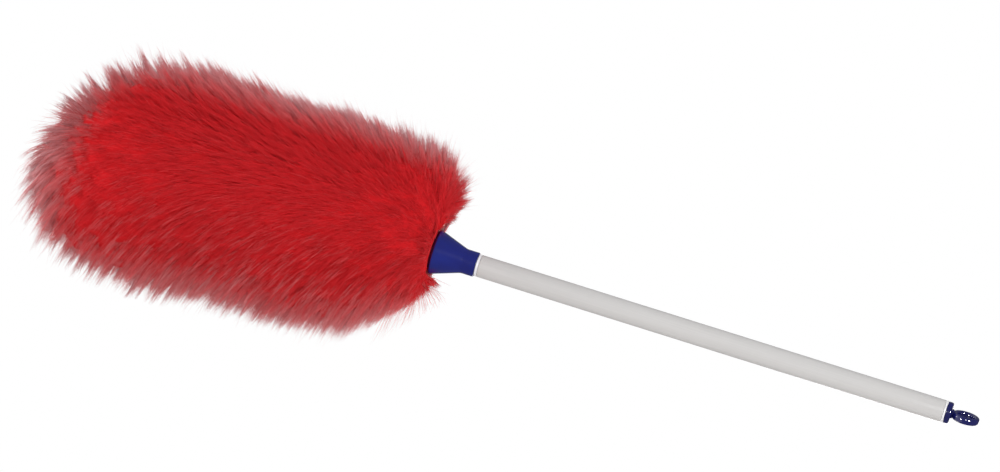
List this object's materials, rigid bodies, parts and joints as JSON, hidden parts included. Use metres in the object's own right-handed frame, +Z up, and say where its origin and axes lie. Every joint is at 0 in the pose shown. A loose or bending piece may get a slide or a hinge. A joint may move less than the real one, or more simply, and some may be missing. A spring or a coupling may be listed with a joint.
{
  "type": "lambswool duster",
  "caption": "Telescopic hand duster: red lambswool head, blue cone collar, white tube handle that pulls out and twist-locks, swivelling hang loop.",
  "frame": {"origin": "the point of the hang loop's eye that bears on a hook, on the handle's axis", "axes": "+Z up along the handle from the wool head to the loop; +X is the side the wool's tip hangs towards; -Y is the side seen in the reference view"},
  "size_m": [0.2181, 0.1994, 0.888],
  "materials": {
    "blue_plastic": "gloss",
    "white_plastic": "gloss",
    "tube_plastic": "satin",
    "inner_plastic": "satin",
    "lock_plastic": "satin",
    "steel": "satin",
    "wood": "matte",
    "hide": "matte",
    "wool": "matte"
  },
  "bodies": {
    "hanger": {"hang_loop": "blue_plastic", "loop_clip": "steel"},
    "handle": {"end_cap": "blue_plastic", "rear_ring": "white_plastic", "outer_tube": "tube_plastic", "mouth_bush": "white_plastic"},
    "lock": {"lock_sleeve": "lock_plastic"},
    "head": {"inner_tube": "inner_plastic", "lock_plug": "lock_plastic", "lock_washer": "steel", "lock_screw": "steel", "cone_collar": "blue_plastic", "core_rod": "wood", "hide_strip": "hide", "neck_wire": "steel", "neck_tack": "steel", "tip_tack": "steel", "tip_cap": "white_plastic", "wool_pile": "wool"}
  },
  "joints": [
    {"name": "loop_swivel", "type": "hinge", "parent": "hanger", "child": "handle", "pos_m": [0, 0, -0.0208], "axis": [0, 0, 1], "continuous": true},
    {"name": "handle_extend", "type": "slide", "parent": "handle", "child": "lock", "axis": [0, 0, -1], "range_m": [0, 0.33]},
    {"name": "lock_twist", "type": "hinge", "parent": "lock", "child": "head", "pos_m": [0, 0, -0.0985], "axis": [0, 0, 1], "range_deg": [0, 120]}
  ]
}
